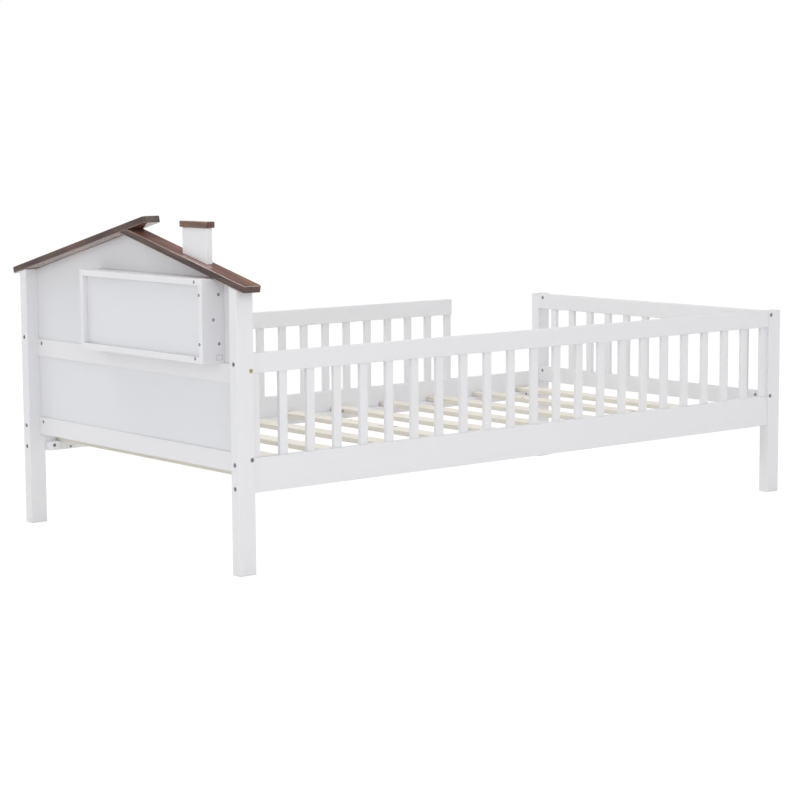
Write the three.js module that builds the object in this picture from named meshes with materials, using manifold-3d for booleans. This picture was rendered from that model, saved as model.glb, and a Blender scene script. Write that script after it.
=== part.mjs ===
// A child's low house bed: four posts, barred guards on three sides with an entry gap on the far side,
// and a headboard with a gable roof, a chimney and a storage box. Bolts with barrel nuts join the frame.
//
// Lengths are in millimetres. X runs from the headboard to the footboard, Y from the near side to the
// far side and Z up. The origin is on the floor, under the middle of the whole bed.

import * as THREE from 'three';
import { mergeVertices } from 'three/addons/utils/BufferGeometryUtils.js';
import Module from 'manifold-3d';

const wasm = await Module();
wasm.setup();

// Whole bed
const bedLength = 2030;
const bedWidth = 1060;
const guardTopHeight = 559;
const clearUnderRails = 207;
const entryWidth = 385;

// Posts
const postDepth = 50;
const postThickness = 33;

// Side rails, and the ledgers on their inner faces that carry the slats
const sideRailHeight = 88;
const sideRailThickness = 22;
const ledgerHeight = 24;
const ledgerThickness = 24;

// Rails across the head and the foot
const crossRailHeight = 50;
const crossRailThickness = 16;
const headLowerRailStep = 10;
const footLowerRailStep = 16;
const headMiddleRailDrop = 30;

// Barred guards
const guardRailHeight = 50;
const balusterWidth = 25;
const balusterThickness = 12;
const balusterHousing = 8;
const nearGuardBarCount = 23;
const farGuardBarCount = 19;
const footGuardBarCount = 11;

// Slats
const slatCount = 10;
const slatWidth = 60;
const slatThickness = 14;
const slatEndMargin = 40;
const slatSideMargin = 2;

// Headboard panels
const panelThickness = 8;
const panelHousing = 5;
const webOverBox = 3.5;

// Roof
const roofPitch = THREE.MathUtils.degToRad(13.3);
const eaveHeight = 730;
const eaveOverhang = 38;
const roofPlankThickness = 18;
const roofFaceOverhang = 2;
const ridgeOverlap = 118;

// Chimney
const chimneyWidth = 108;
const chimneyThickness = 18;
const chimneyHeight = 67;
const chimneyFromEave = 188;
const chimneySetback = 19;
const chimneyCapThickness = 16;
const chimneyCapOverhang = 5;

// Storage box
const boxWidth = 580;
const boxDepth = 80;
const boxNearMargin = 74;
const boxBoard = 16;
const boxBackThickness = 4;
const boxBackRecess = 14;

// Bolts and barrel nuts
const boltRadius = 3;
const boltHeadRadius = 6;
const boltHeadHeight = 4;
const boltSocketRadius = 2.6;
const boltSocketDepth = 2.5;
const boltSinking = 1;
const boltPastNut = 7;
const nutRadius = 5;
const nutInset = 20;
const nutSinking = 0.8;
const nutEndWall = 2;
const sideRailBoltInset = 14;
const crossRailBoltInset = 13;

// Fits
const fitGap = 0.3;
const overrun = 1;
const roundSides = 12;
const socketSides = 6;

// Places that follow from the sizes
const near = -1;
const far = 1;
const boxOverhang = boxDepth - postDepth;
const overallLength = bedLength + boxOverhang;
const headOuterX = boxOverhang - overallLength / 2;
const headInnerX = headOuterX + postDepth;
const footOuterX = overallLength / 2;
const footInnerX = footOuterX - postDepth;
const postOuterY = bedWidth / 2;
const postInnerY = postOuterY - postThickness;
const postCentreY = postOuterY - postThickness / 2;
const sideRailInnerY = postCentreY - sideRailThickness / 2;
const sideRailTop = clearUnderRails + sideRailHeight;
const guardRailBottom = guardTopHeight - guardRailHeight;
const headLowerRailTop = sideRailTop + headLowerRailStep;
const footLowerRailTop = sideRailTop + footLowerRailStep;
const headMiddleRailTop = guardTopHeight - headMiddleRailDrop;
const headRailX = headInnerX - crossRailThickness / 2;
const footRailX = footInnerX + crossRailThickness / 2;

const roofRise = Math.tan(roofPitch);
const eaveY = postOuterY + eaveOverhang;
const roofPlankDrop = roofPlankThickness / Math.cos(roofPitch);
const plankEndRun = roofPlankThickness * Math.sin(roofPitch);
const plankEndDrop = roofPlankThickness * Math.cos(roofPitch);
const roofFrontX = headOuterX - roofFaceOverhang;
const roofBackX = headInnerX + roofFaceOverhang;

const boxBottom = headMiddleRailTop + fitGap;
const boxNearY = boxNearMargin - postInnerY;
const boxFarY = boxNearY + boxWidth;
const boxOuterX = headInnerX - boxDepth;
const boxTop = roofUndersideAt(boxNearY) - webOverBox - fitGap;

const whitePaint = new THREE.MeshStandardMaterial({ color: '#ececef', roughness: 0.42, metalness: 0 });
const brownLacquer = new THREE.MeshStandardMaterial({ color: '#5a3b30', roughness: 0.35, metalness: 0 });
const barePine = new THREE.MeshStandardMaterial({ color: '#e2c69a', roughness: 0.7, metalness: 0 });
const darkSteel = new THREE.MeshStandardMaterial({ color: '#56575b', roughness: 0.4, metalness: 1 });
const yellowBrass = new THREE.MeshStandardMaterial({ color: '#b48b45', roughness: 0.35, metalness: 1 });

const unitX = new THREE.Vector3(1, 0, 0);
const unitY = new THREE.Vector3(0, 1, 0);
const unitZ = new THREE.Vector3(0, 0, 1);

// Height of the roof planks' upper and lower surfaces over a point y across the bed
function roofTopAt(y) {
  return eaveHeight + (eaveY - Math.abs(y)) * roofRise;
}

function roofUndersideAt(y) {
  return roofTopAt(y) - roofPlankDrop;
}

// Closed solids from geometry, and geometry back from solids
function solidOf(geometry) {
  const bare = geometry.clone();
  bare.deleteAttribute('normal');
  bare.deleteAttribute('uv');
  const merged = mergeVertices(bare);
  const mesh = new wasm.Mesh({
    numProp: 3,
    vertProperties: Float32Array.from(merged.attributes.position.array),
    triVerts: Uint32Array.from(merged.index.array),
  });
  return new wasm.Manifold(mesh);
}

function geometryOf(solid) {
  const mesh = solid.getMesh();
  const geometry = new THREE.BufferGeometry();
  geometry.setAttribute('position', new THREE.BufferAttribute(mesh.vertProperties, 3));
  geometry.setIndex(new THREE.BufferAttribute(mesh.triVerts, 1));
  geometry.computeVertexNormals();
  return geometry;
}

function joined(solids) {
  return solids.reduce((whole, solid) => whole.add(solid));
}

// A rectangular block between two corners
function block(x, y, z) {
  const geometry = new THREE.BoxGeometry(x[1] - x[0], y[1] - y[0], z[1] - z[0]);
  geometry.translate((x[0] + x[1]) / 2, (y[0] + y[1]) / 2, (z[0] + z[1]) / 2);
  return solidOf(geometry);
}

// A span of a given size about a centre
function about(centre, size) {
  return [centre - size / 2, centre + size / 2];
}

// A slab whose outline lies across the bed, as [y, z] points, between two places along X
function slab(outline, x) {
  const shape = new THREE.Shape(outline.map(([y, z]) => new THREE.Vector2(y, z)));
  const geometry = new THREE.ExtrudeGeometry(shape, { depth: x[1] - x[0], bevelEnabled: false });
  geometry.applyMatrix4(new THREE.Matrix4().makeBasis(unitY, unitZ, unitX));
  geometry.translate(x[0], 0, 0);
  return solidOf(geometry);
}

// A round rod from a point along a direction
function rod(from, along, radius, length, sides = roundSides) {
  const geometry = new THREE.CylinderGeometry(radius, radius, length, sides);
  geometry.translate(0, length / 2, 0);
  geometry.applyQuaternion(new THREE.Quaternion().setFromUnitVectors(unitY, along));
  geometry.translate(from.x, from.y, from.z);
  return solidOf(geometry);
}

// A named mesh whose own origin is the middle of its solid
function addPiece(parent, name, material, solid) {
  const geometry = geometryOf(solid);
  geometry.computeBoundingBox();
  const centre = geometry.boundingBox.getCenter(new THREE.Vector3());
  geometry.translate(-centre.x, -centre.y, -centre.z);
  const mesh = new THREE.Mesh(geometry, material);
  mesh.name = name;
  mesh.position.copy(centre);
  parent.add(mesh);
}

// Bolted joints: where each bolt enters its post, which way it runs, and which way its nut looks out
function boltedJoint(name, entry, along, postSize, nutFacing, railThickness) {
  return { name, entry, along, postSize, nutFacing, railThickness };
}

function sideJoints(end, side) {
  const atHead = end === 'head';
  const sideName = side === near ? 'near' : 'far';
  const entryX = atHead ? headOuterX : footOuterX;
  const along = unitX.clone().multiplyScalar(atHead ? 1 : -1);
  const heights = {
    rail_lower: clearUnderRails + sideRailBoltInset,
    rail_upper: sideRailTop - sideRailBoltInset,
  };
  if (atHead || side === near) {
    heights.guard = guardTopHeight - guardRailHeight / 2;
  }
  return Object.entries(heights).map(([part, height]) => boltedJoint(
    `bolt_${sideName}_${end}_${part}`,
    new THREE.Vector3(entryX, side * postCentreY, height),
    along,
    postDepth,
    unitY.clone().multiplyScalar(-side),
    sideRailThickness,
  ));
}

function crossJoints(end, side) {
  const atHead = end === 'head';
  const sideName = side === near ? 'near' : 'far';
  const railX = atHead ? headRailX : footRailX;
  const tops = atHead
    ? { middle_cross: headMiddleRailTop, lower_cross: headLowerRailTop }
    : { top_cross: guardTopHeight, lower_cross: footLowerRailTop };
  return Object.entries(tops).map(([part, top]) => boltedJoint(
    `bolt_${sideName}_${end}_${part}`,
    new THREE.Vector3(railX, side * postOuterY, top - crossRailBoltInset),
    unitY.clone().multiplyScalar(-side),
    postThickness,
    unitX.clone().negate(),
    crossRailThickness,
  ));
}

const joints = ['head', 'foot'].flatMap((end) => [near, far].flatMap((side) => [
  ...sideJoints(end, side),
  ...crossJoints(end, side),
]));

// The face of the rail that a joint's nut looks out of, beside the bolt
function nutMouth(joint) {
  return joint.entry.clone()
    .addScaledVector(joint.along, joint.postSize + nutInset)
    .addScaledVector(joint.nutFacing, joint.railThickness / 2);
}

// Everything that a joint removes from its post, its rail and the ledger over its nut
function jointHoles(joint) {
  const outside = joint.entry.clone().addScaledVector(joint.along, -overrun);
  const inward = joint.nutFacing.clone().negate();
  const access = ledgerThickness + overrun;
  const mouth = nutMouth(joint).addScaledVector(joint.nutFacing, access);
  const sinkDepth = boltSinking + boltHeadHeight + fitGap;
  const shankReach = joint.postSize + nutInset + boltPastNut + fitGap;
  return joined([
    rod(outside, joint.along, boltHeadRadius + fitGap, overrun + sinkDepth),
    rod(outside, joint.along, boltRadius + fitGap, overrun + shankReach),
    rod(mouth, inward, nutRadius + fitGap, access + joint.railThickness - nutEndWall),
  ]);
}

// A socket-head bolt screwed into its barrel nut
function boltWithNut(joint) {
  const headTop = joint.entry.clone().addScaledVector(joint.along, boltSinking);
  const inward = joint.nutFacing.clone().negate();
  const nutEnd = nutMouth(joint).addScaledVector(inward, nutSinking);
  const shankLength = joint.postSize - boltSinking + nutInset + boltPastNut;
  const nutLength = joint.railThickness - nutEndWall - nutSinking - fitGap;
  const socketStart = headTop.clone().addScaledVector(joint.along, -overrun);
  return joined([
    rod(headTop, joint.along, boltHeadRadius, boltHeadHeight),
    rod(headTop, joint.along, boltRadius, shankLength),
    rod(nutEnd, inward, nutRadius, nutLength),
  ]).subtract(rod(socketStart, joint.along, boltSocketRadius, overrun + boltSocketDepth, socketSides));
}

const allJointHoles = joined(joints.map(jointHoles));

// Grooves that hold the edges of the headboard panels
function panelGroove(y, z) {
  return block(about(headRailX, panelThickness + 2 * fitGap), y, z);
}

function headPost(side) {
  const outer = side * postOuterY;
  const inner = side * postInnerY;
  const outline = [
    [outer, 0],
    [inner, 0],
    [inner, roofUndersideAt(inner) - fitGap],
    [outer, roofUndersideAt(outer) - fitGap],
  ];
  const turned = side === near ? outline : outline.reverse();
  const grooveY = [side * (postInnerY - overrun), side * (postInnerY + panelHousing + fitGap)];
  grooveY.sort((a, b) => a - b);
  const grooveZ = [headLowerRailTop - panelHousing, roofTopAt(inner)];
  return slab(turned, [headOuterX, headInnerX])
    .subtract(panelGroove(grooveY, grooveZ))
    .subtract(allJointHoles);
}

function footPost(side) {
  return block([footInnerX, footOuterX], about(side * postCentreY, postThickness), [0, guardTopHeight])
    .subtract(allJointHoles);
}

// Centres of a row of bars that stand between two places with equal gaps. The first and the last bar
// stand at the ends of the row, or a gap away from them.
function barCentres(from, to, barCount, barsAtEnds) {
  const gapCount = barsAtEnds ? barCount - 1 : barCount + 1;
  const gap = (to - from - barCount * balusterWidth) / gapCount;
  const first = from + (barsAtEnds ? 0 : gap) + balusterWidth / 2;
  return Array.from({ length: barCount }, (_, i) => first + i * (gap + balusterWidth));
}

// A guard is a top rail with its balusters glued in. The holes for their lower ends come with it.
function barredGuard(topRail, centres, lowerRailTop, balusterBlock) {
  const top = guardRailBottom + balusterHousing;
  const bottom = lowerRailTop - balusterHousing;
  const bars = centres.map((centre) => balusterBlock(centre, 0, [bottom, top]));
  const housings = centres.map((centre) => balusterBlock(centre, fitGap, [bottom - fitGap, top]));
  return { guard: joined([topRail, ...bars]), housings: joined(housings) };
}

function sideGuard(side) {
  const from = headInnerX + fitGap;
  const to = side === near ? footInnerX - fitGap : footInnerX - entryWidth;
  const barCount = side === near ? nearGuardBarCount : farGuardBarCount;
  const y = side * postCentreY;
  const topRail = block([from, to], about(y, sideRailThickness), [guardRailBottom, guardTopHeight]);
  const balusterBlock = (x, extra, z) => block(
    about(x, balusterWidth + 2 * extra),
    about(y, balusterThickness + 2 * extra),
    z,
  );
  return barredGuard(topRail, barCentres(from, to, barCount, true), sideRailTop, balusterBlock);
}

function footGuard() {
  const width = 2 * (postInnerY - fitGap);
  const topRail = block(
    about(footRailX, crossRailThickness),
    about(0, width),
    [guardRailBottom, guardTopHeight],
  );
  const centres = barCentres(-postInnerY, postInnerY, footGuardBarCount, false);
  const balusterBlock = (y, extra, z) => block(
    about(footRailX, balusterThickness + 2 * extra),
    about(y, balusterWidth + 2 * extra),
    z,
  );
  return barredGuard(topRail, centres, footLowerRailTop, balusterBlock);
}

function sideRail(side, housings) {
  return block(
    [headInnerX + fitGap, footInnerX - fitGap],
    about(side * postCentreY, sideRailThickness),
    [clearUnderRails, sideRailTop],
  ).subtract(housings).subtract(allJointHoles);
}

function ledger(side) {
  const centreY = side * (sideRailInnerY - fitGap - ledgerThickness / 2);
  return block(
    [headInnerX + fitGap, footInnerX - fitGap],
    about(centreY, ledgerThickness),
    [clearUnderRails, clearUnderRails + ledgerHeight],
  ).subtract(allJointHoles);
}

function crossRail(x, top) {
  return block(
    about(x, crossRailThickness),
    about(0, 2 * (postInnerY - fitGap)),
    [top - crossRailHeight, top],
  );
}

function headRail(top, grooveHeights) {
  const grooves = grooveHeights.map((z) => panelGroove([-postInnerY, postInnerY], z));
  return crossRail(headRailX, top).subtract(joined(grooves)).subtract(allJointHoles);
}

function lowerPanel() {
  return block(
    about(headRailX, panelThickness),
    about(0, 2 * (postInnerY + panelHousing)),
    [headLowerRailTop - panelHousing, headMiddleRailTop - crossRailHeight + panelHousing],
  );
}

// The gable panel fills the roof and is cut out round the storage box
function gablePanel() {
  const side = postInnerY + panelHousing;
  const bottom = headMiddleRailTop - panelHousing;
  const outline = [
    [-side, bottom],
    [side, bottom],
    [side, roofUndersideAt(side) - fitGap],
    [0, roofUndersideAt(0) - fitGap],
    [-side, roofUndersideAt(side) - fitGap],
  ];
  const opening = block(
    [boxOuterX, headInnerX + overrun],
    [boxNearY - fitGap, boxFarY + fitGap],
    [headMiddleRailTop, boxTop + fitGap],
  );
  return slab(outline, about(headRailX, panelThickness)).subtract(opening);
}

function addStorageBox(parent) {
  const inside = [boxNearY + boxBoard + fitGap, boxFarY - boxBoard - fitGap];
  const full = [boxOuterX, headInnerX];
  const backX = boxOuterX + boxBackRecess;
  const shelfX = [backX + boxBackThickness + fitGap, headInnerX];
  const backZ = [boxBottom + boxBoard + fitGap, boxTop - boxBoard - fitGap];
  const shelfZ = about((boxBottom + boxTop) / 2, boxBoard);
  const tall = [boxBottom, boxTop];
  const boards = {
    box_near_side: block(full, [boxNearY, boxNearY + boxBoard], tall),
    box_far_side: block(full, [boxFarY - boxBoard, boxFarY], tall),
    box_bottom: block(full, inside, [boxBottom, boxBottom + boxBoard]),
    box_top: block(full, inside, [boxTop - boxBoard, boxTop]),
    box_shelf: block(shelfX, inside, shelfZ),
    box_back: block([backX, backX + boxBackThickness], inside, backZ),
  };
  for (const [name, board] of Object.entries(boards)) {
    addPiece(parent, name, whitePaint, board);
  }
}

// The far plank runs over the ridge, and the near plank butts against it from below
function farRoofPlank() {
  const upperHeight = eaveHeight + (eaveY + ridgeOverlap) * roofRise;
  const outline = [
    [eaveY - plankEndRun, eaveHeight - plankEndDrop],
    [eaveY, eaveHeight],
    [-ridgeOverlap, upperHeight],
    [-ridgeOverlap - plankEndRun, upperHeight - plankEndDrop],
  ];
  return slab(outline, [roofFrontX, roofBackX]);
}

function nearRoofPlank() {
  const topMeetsPlank = -(roofPlankDrop + fitGap) / (2 * roofRise);
  const undersideMeetsPlank = -fitGap / (2 * roofRise);
  const outline = [
    [plankEndRun - eaveY, eaveHeight - plankEndDrop],
    [undersideMeetsPlank, roofUndersideAt(undersideMeetsPlank)],
    [topMeetsPlank, roofTopAt(topMeetsPlank)],
    [-eaveY, eaveHeight],
  ];
  return slab(outline, [roofFrontX, roofBackX]);
}

const chimneyOuterY = chimneyFromEave - eaveY;
const chimneyInnerY = chimneyOuterY + chimneyWidth;
const chimneyTop = roofTopAt(chimneyInnerY) + chimneyHeight;
const chimneyX = [roofFrontX + chimneySetback, roofFrontX + chimneySetback + chimneyThickness];

function chimneyBoard() {
  const outline = [
    [chimneyOuterY, roofTopAt(chimneyOuterY) + fitGap],
    [chimneyInnerY, roofTopAt(chimneyInnerY) + fitGap],
    [chimneyInnerY, chimneyTop],
    [chimneyOuterY, chimneyTop],
  ];
  return slab(outline, chimneyX);
}

function chimneyCap() {
  return block(
    [chimneyX[0] - chimneyCapOverhang, chimneyX[1] + chimneyCapOverhang],
    [chimneyOuterY - chimneyCapOverhang, chimneyInnerY + chimneyCapOverhang],
    [chimneyTop + fitGap, chimneyTop + fitGap + chimneyCapThickness],
  );
}

function addSlats(parent) {
  const first = headInnerX + slatEndMargin + slatWidth / 2;
  const last = footInnerX - slatEndMargin - slatWidth / 2;
  const bottom = clearUnderRails + ledgerHeight + fitGap;
  const length = 2 * (sideRailInnerY - slatSideMargin);
  for (let i = 0; i < slatCount; i += 1) {
    const x = first + (i * (last - first)) / (slatCount - 1);
    const slat = block(about(x, slatWidth), about(0, length), [bottom, bottom + slatThickness]);
    addPiece(parent, `slat_${i + 1}`, barePine, slat);
  }
}

// The bed, grouped as it is assembled
const bed = new THREE.Group();
const headboard = new THREE.Group();
const footboard = new THREE.Group();
const sides = new THREE.Group();
const roof = new THREE.Group();
const base = new THREE.Group();
const fasteners = new THREE.Group();
bed.add(headboard, footboard, sides, roof, base, fasteners);

addPiece(headboard, 'near_head_post', whitePaint, headPost(near));
addPiece(headboard, 'far_head_post', whitePaint, headPost(far));
addPiece(headboard, 'head_lower_rail', whitePaint, headRail(headLowerRailTop, [
  [headLowerRailTop - panelHousing - fitGap, headLowerRailTop + overrun],
]));
addPiece(headboard, 'head_middle_rail', whitePaint, headRail(headMiddleRailTop, [
  [headMiddleRailTop - panelHousing - fitGap, headMiddleRailTop + overrun],
  [
    headMiddleRailTop - crossRailHeight - overrun,
    headMiddleRailTop - crossRailHeight + panelHousing + fitGap,
  ],
]));
addPiece(headboard, 'lower_panel', whitePaint, lowerPanel());
addPiece(headboard, 'gable_panel', whitePaint, gablePanel());
addStorageBox(headboard);

const footBars = footGuard();
addPiece(footboard, 'near_foot_post', whitePaint, footPost(near));
addPiece(footboard, 'far_foot_post', whitePaint, footPost(far));
addPiece(footboard, 'foot_guard', whitePaint, footBars.guard.subtract(allJointHoles));
addPiece(footboard, 'foot_lower_rail', whitePaint, crossRail(footRailX, footLowerRailTop)
  .subtract(footBars.housings)
  .subtract(allJointHoles));

for (const [side, sideName] of [[near, 'near'], [far, 'far']]) {
  const { guard, housings } = sideGuard(side);
  addPiece(sides, `${sideName}_guard`, whitePaint, guard.subtract(allJointHoles));
  addPiece(sides, `${sideName}_side_rail`, whitePaint, sideRail(side, housings));
  addPiece(sides, `${sideName}_ledger`, whitePaint, ledger(side));
}

addPiece(roof, 'far_roof_plank', brownLacquer, farRoofPlank());
addPiece(roof, 'near_roof_plank', brownLacquer, nearRoofPlank());
addPiece(roof, 'chimney_board', whitePaint, chimneyBoard());
addPiece(roof, 'chimney_cap', brownLacquer, chimneyCap());

addSlats(base);

for (const joint of joints) {
  const brassOne = joint.name === 'bolt_near_head_middle_cross';
  addPiece(fasteners, joint.name, brassOne ? yellowBrass : darkSteel, boltWithNut(joint));
}

export default bed;
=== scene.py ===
# %% [markdown]
# # A child's house bed
#
# The bed is a kit of painted pine boards, bolted at four posts. Three guards of upright bars keep the
# child in, and the headboard is drawn as a small house with a roof, a chimney and a storage box.
# The sizes and places all come from the CAD frame. This lesson gives each piece what a joiner and a
# painter would: eased edges, grain that runs along each board, paint, lacquer and real fastenings.

import math
import random

import bmesh
import bpy
from mathutils import Matrix, Vector


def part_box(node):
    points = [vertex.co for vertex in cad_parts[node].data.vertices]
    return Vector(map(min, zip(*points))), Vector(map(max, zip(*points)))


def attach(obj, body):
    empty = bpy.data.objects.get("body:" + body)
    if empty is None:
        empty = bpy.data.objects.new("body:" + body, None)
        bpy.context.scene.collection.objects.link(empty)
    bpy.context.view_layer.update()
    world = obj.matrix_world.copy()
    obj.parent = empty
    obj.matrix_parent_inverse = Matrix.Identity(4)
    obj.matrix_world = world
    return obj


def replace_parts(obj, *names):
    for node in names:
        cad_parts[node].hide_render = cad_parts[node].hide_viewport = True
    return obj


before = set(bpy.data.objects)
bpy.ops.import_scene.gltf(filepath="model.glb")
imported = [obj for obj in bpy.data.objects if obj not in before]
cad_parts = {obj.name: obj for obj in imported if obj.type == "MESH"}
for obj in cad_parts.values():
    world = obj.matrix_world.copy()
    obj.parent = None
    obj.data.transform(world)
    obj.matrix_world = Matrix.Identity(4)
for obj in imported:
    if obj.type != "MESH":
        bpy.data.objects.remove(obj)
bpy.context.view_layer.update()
scene = bpy.context.scene
print("nodes in the frame:", len(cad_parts))

# %% [markdown]
# ## Camera
#
# The photograph was taken from the near side, out beyond the head, with a long lens a little above
# the roof. Lines that run along and across the bed were solved together for the camera's place and
# direction, so its numbers are typed here. A heading of 0 looks along +X.

# %% The photograph's camera
camera_place = Vector((-4.1091, -4.9384, 1.0932))
camera_heading = math.radians(50.53)
camera_dip = math.radians(6.876)
camera_roll = math.radians(-0.349)
camera_lens = 98.41

ahead = Vector((
    math.cos(camera_dip) * math.cos(camera_heading),
    math.cos(camera_dip) * math.sin(camera_heading),
    -math.sin(camera_dip),
))
level_right = ahead.cross(Vector((0, 0, 1))).normalized()
level_up = level_right.cross(ahead)
right = level_right * math.cos(camera_roll) + level_up * math.sin(camera_roll)
up = level_up * math.cos(camera_roll) - level_right * math.sin(camera_roll)

camera_data = bpy.data.cameras.new("photo_camera")
camera_data.sensor_fit = "HORIZONTAL"
camera_data.sensor_width = 36
camera_data.lens = camera_lens
camera_data.clip_end = 200
camera = bpy.data.objects.new("photo_camera", camera_data)
turn = Matrix((right, up, -ahead)).transposed()
camera.matrix_world = Matrix.Translation(camera_place) @ turn.to_4x4()
scene.collection.objects.link(camera)
scene.camera = camera
print("camera at", tuple(round(v, 3) for v in camera.location), "lens", camera_lens, "mm")

# %% [markdown]
# ## Light, floor and background
#
# The photograph is a plain studio picture: the bed stands in even white light, a little stronger on
# the near side. A pale world gives the even part, and large soft lamps give the rest. The world and
# the floor look white to the camera, but they light the bed at a plain level, so a colour shows
# about as it is written. The floor still keeps the bed's shadow.
#
# One lamp stands behind the headboard's far side. Its light comes steeply over the roof, so the
# storage box throws a soft shadow on the panel under it, as it does in the photograph.
#
# Lacquer and metal mirror what is round them. They see the same white backdrop, but higher up it
# fades to the grey of a studio ceiling, and that keeps the roof's top faces dark and deep.

# %% World
scene.view_settings.view_transform = "Standard"

sky_strength = 0.58
sky_colour = (0.985, 0.99, 1.0, 1)
studio_ceiling = 0.16
ceiling_starts = 0.12
ceiling_full = 0.40
nodes_in_column = 4
node_step = 300


def add_node(tree, kind, **settings):
    """A node of a kind, with its own settings. In the editor the nodes fill one column after another."""
    column, row = divmod(len(tree.nodes), nodes_in_column)
    node = tree.nodes.new(kind)
    node.location = (node_step * column, -node_step * row)
    for name, value in settings.items():
        setattr(node, name, value)
    return node


def settle(node, values):
    """Sets numbers and colours on a node's sockets."""
    for label, value in values.items():
        node.inputs[label].default_value = value


def join(tree, *pairs):
    """Links outputs to inputs, given as pairs."""
    for output, socket in pairs:
        tree.links.new(output, socket)


world = bpy.data.worlds.new("white_studio")
world.use_nodes = True
scene.world = world
sky_tree = world.node_tree
sky_tree.nodes.clear()
sky_out = add_node(sky_tree, "ShaderNodeOutputWorld")
sky_light = add_node(sky_tree, "ShaderNodeBackground")
sky_mirrored = add_node(sky_tree, "ShaderNodeBackground")
sky_seen = add_node(sky_tree, "ShaderNodeBackground")
sky_path = add_node(sky_tree, "ShaderNodeLightPath")
sky_clear = add_node(sky_tree, "ShaderNodeMath", operation="MAXIMUM")
sky_first = add_node(sky_tree, "ShaderNodeMixShader")
sky_second = add_node(sky_tree, "ShaderNodeMixShader")
sky_way = add_node(sky_tree, "ShaderNodeTexCoord")
sky_parts = add_node(sky_tree, "ShaderNodeSeparateXYZ")
sky_fade = add_node(sky_tree, "ShaderNodeMapRange")
settle(sky_fade, {"From Min": ceiling_starts, "From Max": ceiling_full})
settle(sky_fade, {"To Min": 1.0, "To Max": studio_ceiling})
settle(sky_light, {"Color": sky_colour, "Strength": sky_strength})
settle(sky_seen, {"Color": (1, 1, 1, 1), "Strength": 1.0})
join(
    sky_tree,
    (sky_way.outputs["Generated"], sky_parts.inputs[0]),
    (sky_parts.outputs["Z"], sky_fade.inputs["Value"]),
    (sky_fade.outputs["Result"], sky_mirrored.inputs["Strength"]),
    (sky_path.outputs["Is Glossy Ray"], sky_first.inputs["Fac"]),
    (sky_light.outputs[0], sky_first.inputs[1]),
    (sky_mirrored.outputs[0], sky_first.inputs[2]),
    (sky_path.outputs["Is Camera Ray"], sky_clear.inputs[0]),
    (sky_path.outputs["Is Transmission Ray"], sky_clear.inputs[1]),
    (sky_clear.outputs[0], sky_second.inputs["Fac"]),
    (sky_first.outputs[0], sky_second.inputs[1]),
    (sky_seen.outputs[0], sky_second.inputs[2]),
    (sky_second.outputs[0], sky_out.inputs["Surface"]))
print("world", world.name, "strength", sky_strength)

# %% Lamps
# Each lamp has its place, the point that it faces, its size in metres and its power in watts.
lamps = {
    "head_lamp": ((-8.5, -1.7, 3.0), (-0.6, 0, 0.4), 4.4, 84),
    "front_lamp": ((-3.6, -5.0, 2.6), (-0.3, 0, 0.4), 3.0, 55),
    "side_lamp": ((1.5, -5.5, 3.4), (0.2, 0, 0.3), 3.0, 42),
    "top_lamp": ((0.3, -0.4, 4.5), (0.0, 0, 0.3), 3.5, 58),
    "far_lamp": ((-1.9, 2.4, 4.2), (-0.8, 0, 0.4), 2.0, 64),
}


def soft_lamp(name, place, aim, size, power):
    """A large square lamp that faces a point."""
    data = bpy.data.lights.new(name, "AREA")
    data.shape = "SQUARE"
    data.size = size
    data.energy = power
    lamp = bpy.data.objects.new(name, data)
    lamp.location = place
    lamp.rotation_euler = (Vector(aim) - Vector(place)).to_track_quat("-Z", "Y").to_euler()
    scene.collection.objects.link(lamp)


for name, settings in lamps.items():
    soft_lamp(name, *settings)
    print(name, settings[-1], "W")

# %% Floor
floor_reach = 40
floor_shadow_share = 0.14
floor_white_strength = 1.09

floor_mesh = bpy.data.meshes.new("studio_floor")
floor_mesh.from_pydata(
    [(x * floor_reach, y * floor_reach, 0) for x, y in ((-1, -1), (1, -1), (1, 1), (-1, 1))],
    [], [(0, 1, 2, 3)])
floor = bpy.data.objects.new("studio_floor", floor_mesh)
scene.collection.objects.link(floor)

floor_paint = bpy.data.materials.new("studio_floor")
floor_paint.use_nodes = True
tree = floor_paint.node_tree
tree.nodes.clear()
floor_out = add_node(tree, "ShaderNodeOutputMaterial")
floor_pick = add_node(tree, "ShaderNodeMixShader")
floor_seen = add_node(tree, "ShaderNodeMixShader")
floor_matt = add_node(tree, "ShaderNodeBsdfDiffuse")
floor_white = add_node(tree, "ShaderNodeEmission")
floor_path = add_node(tree, "ShaderNodeLightPath")
floor_matt.inputs["Color"].default_value = (0.9, 0.9, 0.9, 1)
floor_white.inputs["Strength"].default_value = floor_white_strength
floor_seen.inputs["Fac"].default_value = 1 - floor_shadow_share
join(
    tree,
    (floor_matt.outputs[0], floor_seen.inputs[1]),
    (floor_white.outputs[0], floor_seen.inputs[2]),
    (floor_path.outputs["Is Camera Ray"], floor_pick.inputs["Fac"]),
    (floor_matt.outputs[0], floor_pick.inputs[1]),
    (floor_seen.outputs[0], floor_pick.inputs[2]),
    (floor_pick.outputs[0], floor_out.inputs["Surface"]))
floor.data.materials.append(floor_paint)
print("floor", 2 * floor_reach, "m wide")

# %% [markdown]
# ## Shared effects
#
# Wood, paint and metal here share four effects, so each is one node group with named sockets, and
# every finish sets its own values on it.
#
# - *timber figure* draws growth rings round a pith that runs along the board, and fine fibres.
# - *edge wear and highlight* breaks up the mask of the eased edges, where a finish wears first and
#   where the lacquer carries a painted highlight.
# - *cloud* is slow, soft variation between two values.
# - *stipple* is the small dimpling that a roller or a spray gun leaves in paint.
#
# They read where a point lies in its own board, from a mesh attribute called `grain`. Its first
# number runs along the board, so one material serves boards that lie in any direction.

# %% Helper for node groups
NUMBER = "NodeSocketFloat"
ARROW = "NodeSocketVector"


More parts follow.
